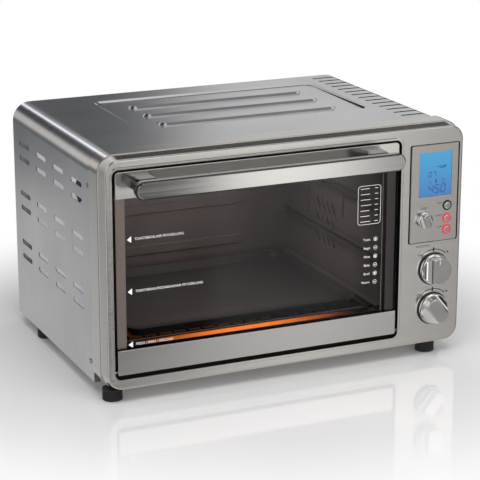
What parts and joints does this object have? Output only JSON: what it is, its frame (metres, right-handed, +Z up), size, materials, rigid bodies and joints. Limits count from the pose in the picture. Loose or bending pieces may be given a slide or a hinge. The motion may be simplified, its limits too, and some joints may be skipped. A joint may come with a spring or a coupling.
{
  "type": "toaster oven",
  "caption": "Countertop toaster oven: steel case, drop-down glass door with a bar handle, lit display, dials and buttons, rack with pan, heating rods, fan, crumb tray.",
  "frame": {"origin": "middle of the overall box at the level the feet stand on", "axes": "+Z up, -Y out of the door side, +X to the right seen from the front"},
  "size_m": [0.53, 0.432, 0.332],
  "materials": {
    "wrap_steel": "brushed",
    "frame_steel": "brushed",
    "door_steel": "brushed",
    "handle_steel": "brushed",
    "bright_steel": "satin",
    "chrome": "polished",
    "rack_chrome": "polished",
    "galvanised": "matte",
    "cavity_dark": "satin",
    "nonstick": "satin",
    "black_plastic": "matte",
    "black_gloss": "gloss",
    "door_glass": "clear",
    "lamp_glass": "frosted",
    "display_blue": "lit",
    "lit_red": "lit",
    "circuit_green": "matte",
    "hot_element": "glowing",
    "element_steel": "matte",
    "ceramic_white": "matte",
    "foot_rubber": "matte"
  },
  "bodies": {
    "body": {"outer_wrap": "wrap_steel", "front_frame": "frame_steel", "control_plate": "frame_steel", "display_window": "display_blue", "display_module": "black_plastic", "control_board": "circuit_green", "board_posts": "black_plastic", "dial_bezels": "black_plastic", "rotary_encoders": "bright_steel", "lit_rings": "lit_red", "plain_ring": "black_plastic", "button_switches": "black_plastic", "hinge_bearings": "galvanised", "cavity_left_wall": "cavity_dark", "cavity_right_wall": "cavity_dark", "cavity_back_wall": "cavity_dark", "cavity_roof": "cavity_dark", "cavity_floor": "galvanised", "cavity_front_ring": "cavity_dark", "rack_guides": "cavity_dark", "lower_elements": "hot_element", "upper_elements": "element_steel", "element_insulators": "ceramic_white", "fan_housing": "galvanised", "fan_motor": "galvanised", "heat_shield": "galvanised", "lamp_housing": "galvanised", "oven_lamp": "lamp_glass", "lamp_lens": "lamp_glass", "temperature_probe": "bright_steel", "back_panel": "galvanised", "base_plate": "galvanised", "feet": "foot_rubber", "foot_screws": "bright_steel", "cord_gland": "black_plastic", "back_screws": "bright_steel", "wrap_screws": "bright_steel"},
    "door": {"door_top_trim": "door_steel", "door_bottom_trim": "door_steel", "door_glass": "door_glass", "door_side_rails": "door_steel", "hinge_pins": "bright_steel", "handle_plate": "handle_steel", "handle_core": "black_plastic", "handle_brackets": "black_gloss", "handle_screws": "bright_steel"},
    "rack": {"wire_rack": "rack_chrome", "baking_pan": "nonstick"},
    "crumb_tray": {"crumb_tray": "galvanised"},
    "upper_dial": {"upper_dial": "chrome", "upper_dial_shaft": "bright_steel"},
    "lower_dial": {"lower_dial": "chrome", "lower_dial_shaft": "bright_steel"},
    "small_dial": {"small_dial": "chrome", "small_dial_shaft": "bright_steel"},
    "light_button": {"light_button": "chrome"},
    "start_button": {"start_button": "chrome"},
    "stop_button": {"stop_button": "chrome"},
    "fan": {"fan_wheel": "galvanised", "fan_shaft": "bright_steel"}
  },
  "joints": [
    {"name": "door_hinge", "type": "hinge", "parent": "body", "child": "door", "pos_m": [-0.04315, -0.1665, 0.043], "axis": [1, 0, 0], "range_deg": [0, 86], "stiffness_Nm_per_rad": 0.35, "springref_deg": -57.3},
    {"name": "rack_slide", "type": "slide", "parent": "body", "child": "rack", "axis": [0, -1, 0], "range_m": [0, 0.0545]},
    {"name": "crumb_tray_slide", "type": "slide", "parent": "body", "child": "crumb_tray", "axis": [0, 1, 0], "range_m": [0, 0.33]},
    {"name": "upper_dial_turn", "type": "hinge", "parent": "body", "child": "upper_dial", "pos_m": [0.22, -0.176, 0.1272], "axis": [0, 1, 0], "continuous": true},
    {"name": "lower_dial_turn", "type": "hinge", "parent": "body", "child": "lower_dial", "pos_m": [0.22, -0.176, 0.0696], "axis": [0, 1, 0], "continuous": true},
    {"name": "small_dial_turn", "type": "hinge", "parent": "body", "child": "small_dial", "pos_m": [0.2025, -0.176, 0.1996], "axis": [0, 1, 0], "continuous": true},
    {"name": "light_button_press", "type": "slide", "parent": "body", "child": "light_button", "axis": [0, 1, 0], "range_m": [0, 0.0012], "stiffness_N_per_m": 900, "springref_m": -0.0006},
    {"name": "start_button_press", "type": "slide", "parent": "body", "child": "start_button", "axis": [0, 1, 0], "range_m": [0, 0.0012], "stiffness_N_per_m": 900, "springref_m": -0.0006},
    {"name": "stop_button_press", "type": "slide", "parent": "body", "child": "stop_button", "axis": [0, 1, 0], "range_m": [0, 0.0012], "stiffness_N_per_m": 900, "springref_m": -0.0006},
    {"name": "fan_spin", "type": "hinge", "parent": "body", "child": "fan", "pos_m": [0.16, 0.021, 0.152], "axis": [1, 0, 0], "continuous": true}
  ],
  "couplings": [
    {"joint": "rack_slide", "follows": "door_hinge", "m_per_rad": 0.036}
  ]
}
